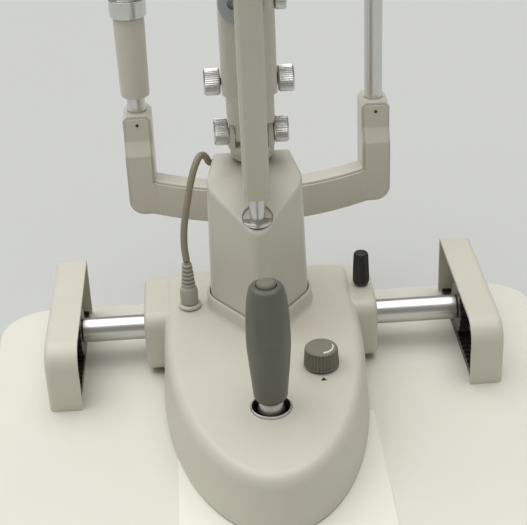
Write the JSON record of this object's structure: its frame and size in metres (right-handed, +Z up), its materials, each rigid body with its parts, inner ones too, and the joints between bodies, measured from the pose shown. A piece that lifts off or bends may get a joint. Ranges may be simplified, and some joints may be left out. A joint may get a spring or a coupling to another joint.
{
  "type": "slit lamp",
  "caption": "Ophthalmic slit lamp: joystick cross-slide base, telescopic column, swinging lamp tower and binocular microscope, head rest with chin cup, on its table board.",
  "frame": {"origin": "underside of the table board, below the middle of the two rails (below the axle in its middle position)", "axes": "+Z up, +Y from the operator towards the patient, +X to the operator's right along the axle"},
  "size_m": [0.5, 0.4465, 0.5398],
  "materials": {
    "board_laminate": "semi-matt pale laminate with rounded edges",
    "ivory_plastic": "fine-grained moulded housing, warm ivory",
    "ivory_metal": "smooth satin paint on a casting, warm ivory",
    "white_plastic": "smooth white plastic",
    "black_plastic": "matt black moulding",
    "polished_steel": "ground and polished shaft",
    "knurled_steel": "knurled nickel-plated metal",
    "dark_steel": "blackened steel",
    "grip_plastic": "grey-green soft-touch moulding",
    "taupe_plastic": "taupe-grey moulding",
    "cable_sheath": "taupe flexible sheath",
    "blue_grey_metal": "satin anodised",
    "band_rubber": "soft black strap",
    "bulb_glass": "clear bulb",
    "blue_grey_plastic": "grey moulded connector"
  },
  "bodies": {
    "table": {"table_board": "board_laminate", "slide_plate": "white_plastic", "rack_left": "black_plastic", "rack_right": "black_plastic", "rail_cover_left": "ivory_plastic", "rail_cover_right": "ivory_plastic", "rest_pedestal": "ivory_metal", "rest_yoke": "ivory_metal", "yoke_panel_left": "ivory_plastic", "yoke_panel_right": "ivory_plastic", "post_left": "polished_steel", "post_right": "polished_steel", "chin_sleeve": "ivory_plastic", "forehead_frame": "ivory_metal", "forehead_band": "band_rubber"},
    "height_ring": {"height_ring": "knurled_steel"},
    "chin_rest": {"chin_bar": "ivory_metal", "chin_cup": "white_plastic"},
    "fixation_arm": {"fixation_arm": "dark_steel"},
    "fixation_lamp": {"fixation_lamp": "black_plastic"},
    "axle_carrier": {"guide_bush_left": "white_plastic", "guide_bush_right": "white_plastic"},
    "axle": {"axle_shaft": "polished_steel", "wheel_left": "black_plastic", "wheel_right": "black_plastic"},
    "base": {"base_housing": "ivory_plastic", "base_plate": "dark_steel", "axle_bush_left": "dark_steel", "axle_bush_right": "dark_steel", "column_collar": "ivory_plastic", "cable_socket": "knurled_steel", "cable_plug": "blue_grey_plastic", "lamp_cable": "cable_sheath", "joystick_bezel": "polished_steel", "dimmer_body": "dark_steel"},
    "brightness_knob": {"brightness_knob": "taupe_plastic"},
    "clamp_knob": {"clamp_knob": "black_plastic"},
    "gimbal": {"gimbal_ring": "dark_steel"},
    "joystick_shaft": {"joystick_shaft": "polished_steel"},
    "joystick_grip": {"joystick_grip": "grip_plastic"},
    "joystick_button": {"joystick_button": "grip_plastic"},
    "lift_spindle": {"lift_spindle": "knurled_steel"},
    "column": {"column_shell": "ivory_metal", "centre_stop": "polished_steel", "swing_post": "polished_steel"},
    "lamp_arm": {"lamp_arm": "ivory_metal"},
    "tilt_knobs": {"tilt_knobs": "knurled_steel"},
    "lamp_tower": {"lamp_tower": "ivory_metal", "lamp_bulb": "bulb_glass", "prism_head": "black_plastic"},
    "slit_knobs": {"slit_knobs": "knurled_steel"},
    "aperture_dial": {"aperture_dial": "blue_grey_metal"},
    "filter_wheel": {"filter_wheel": "knurled_steel"},
    "microscope": {"microscope_arm": "ivory_metal", "microscope_body": "ivory_metal"},
    "magnification_drum": {"magnification_drum": "black_plastic"},
    "eyetube_left": {"eyetube_left": "ivory_metal"},
    "eyetube_right": {"eyetube_right": "ivory_metal"},
    "eyepiece_left": {"eyepiece_left": "black_plastic"},
    "eyepiece_right": {"eyepiece_right": "black_plastic"}
  },
  "joints": [
    {"name": "carriage_forward", "type": "slide", "parent": "table", "child": "axle_carrier", "axis": [0, 1, 0], "range_m": [-0.045, 0.045]},
    {"name": "axle_roll", "type": "hinge", "parent": "axle_carrier", "child": "axle", "pos_m": [0, 0, 0.055], "axis": [1, 0, 0], "range_deg": [-116, 116]},
    {"name": "carriage_side", "type": "slide", "parent": "axle_carrier", "child": "base", "axis": [1, 0, 0], "range_m": [-0.045, 0.06]},
    {"name": "joystick_lean_forward", "type": "hinge", "parent": "base", "child": "gimbal", "pos_m": [-0.0092, -0.17, 0.057], "axis": [1, 0, 0], "range_deg": [-7, 7]},
    {"name": "joystick_lean_side", "type": "hinge", "parent": "gimbal", "child": "joystick_shaft", "pos_m": [-0.0092, -0.17, 0.057], "axis": [0, 1, 0], "range_deg": [-7, 7]},
    {"name": "joystick_turn", "type": "hinge", "parent": "joystick_shaft", "child": "joystick_grip", "pos_m": [-0.0092, -0.17, 0.125], "axis": [0, 0, 1], "range_deg": [-545, 545]},
    {"name": "joystick_press", "type": "slide", "parent": "joystick_grip", "child": "joystick_button", "axis": [0, 0, -1], "range_m": [0, 0.002], "stiffness_N_per_m": 800},
    {"name": "column_lift", "type": "slide", "parent": "base", "child": "column", "axis": [0, 0, 1], "range_m": [-0.015, 0.015], "deforming": ["lamp_cable"]},
    {"name": "spindle_turn", "type": "hinge", "parent": "base", "child": "lift_spindle", "pos_m": [-0.0092, 0.026, 0.085], "axis": [0, 0, 1], "range_deg": [-545, 545]},
    {"name": "brightness_turn", "type": "hinge", "parent": "base", "child": "brightness_knob", "pos_m": [0.0348, -0.12, 0.085], "axis": [0, 0, 1], "range_deg": [0, 300]},
    {"name": "clamp_turn", "type": "hinge", "parent": "base", "child": "clamp_knob", "pos_m": [0.0818, 0, 0.087], "axis": [0, 0, 1], "range_deg": [0, 180]},
    {"name": "microscope_swing", "type": "hinge", "parent": "column", "child": "microscope", "pos_m": [-0.0092, 0.012, 0.215], "axis": [0, 0, 1], "range_deg": [-45, 45]},
    {"name": "lamp_swing", "type": "hinge", "parent": "column", "child": "lamp_arm", "pos_m": [-0.0092, 0.012, 0.223], "axis": [0, 0, 1], "range_deg": [-60, 60]},
    {"name": "tilt_knob_turn", "type": "hinge", "parent": "lamp_arm", "child": "tilt_knobs", "pos_m": [-0.0092, 0.002, 0.2384], "axis": [1, 0, 0], "range_deg": [-60, 60]},
    {"name": "lamp_tilt", "type": "hinge", "parent": "lamp_arm", "child": "lamp_tower", "pos_m": [-0.0092, 0.002, 0.2384], "axis": [1, 0, 0], "range_deg": [-15, 0]},
    {"name": "slit_width_turn", "type": "hinge", "parent": "lamp_tower", "child": "slit_knobs", "pos_m": [-0.0092, 0.002, 0.283], "axis": [1, 0, 0], "range_deg": [0, 200]},
    {"name": "aperture_turn", "type": "hinge", "parent": "lamp_tower", "child": "aperture_dial", "pos_m": [-0.0132, -0.02, 0.356], "axis": [0, 1, 0], "range_deg": [0, 300]},
    {"name": "filter_turn", "type": "hinge", "parent": "lamp_tower", "child": "filter_wheel", "pos_m": [0.0178, -0.002, 0.356], "axis": [1, 0, 0], "range_deg": [0, 270]},
    {"name": "magnification_turn", "type": "hinge", "parent": "microscope", "child": "magnification_drum", "pos_m": [-0.0092, -0.112, 0.455], "axis": [1, 0, 0], "continuous": true},
    {"name": "eyetube_left_swing", "type": "hinge", "parent": "microscope", "child": "eyetube_left", "pos_m": [-0.0252, -0.17, 0.455], "axis": [0, 1, 0], "range_deg": [-8, 8]},
    {"name": "eyetube_right_swing", "type": "hinge", "parent": "microscope", "child": "eyetube_right", "pos_m": [0.0068, -0.17, 0.455], "axis": [0, 1, 0], "range_deg": [-8, 8]},
    {"name": "dioptre_left_turn", "type": "hinge", "parent": "eyetube_left", "child": "eyepiece_left", "pos_m": [-0.0422, -0.235, 0.455], "axis": [0, 1, 0], "range_deg": [-90, 90]},
    {"name": "dioptre_right_turn", "type": "hinge", "parent": "eyetube_right", "child": "eyepiece_right", "pos_m": [0.0238, -0.235, 0.455], "axis": [0, 1, 0], "range_deg": [-90, 90]},
    {"name": "height_ring_turn", "type": "hinge", "parent": "table", "child": "height_ring", "pos_m": [-0.1095, 0.13, 0.308], "axis": [0, 0, 1], "range_deg": [0, 1445]},
    {"name": "chin_lift", "type": "slide", "parent": "table", "child": "chin_rest", "axis": [0, 0, 1], "range_m": [0, 0.06]},
    {"name": "fixation_swing", "type": "hinge", "parent": "table", "child": "fixation_arm", "pos_m": [0.1095, 0.13, 0.53], "axis": [0, 0, 1], "range_deg": [-30, 60]},
    {"name": "fixation_lamp_turn", "type": "hinge", "parent": "fixation_arm", "child": "fixation_lamp", "pos_m": [0.0525, 0.06, 0.508], "axis": [0, 0, 1], "range_deg": [-30, 30]}
  ],
  "couplings": [
    {"joint": "axle_roll", "follows": "carriage_forward", "rad_per_m": -44.444},
    {"joint": "joystick_turn", "follows": "column_lift", "rad_per_m": 628.32},
    {"joint": "spindle_turn", "follows": "column_lift", "rad_per_m": 628.32},
    {"joint": "eyetube_right_swing", "follows": "eyetube_left_swing", "ratio": -1},
    {"joint": "height_ring_turn", "follows": "chin_lift", "rad_per_m": 418.88}
  ]
}
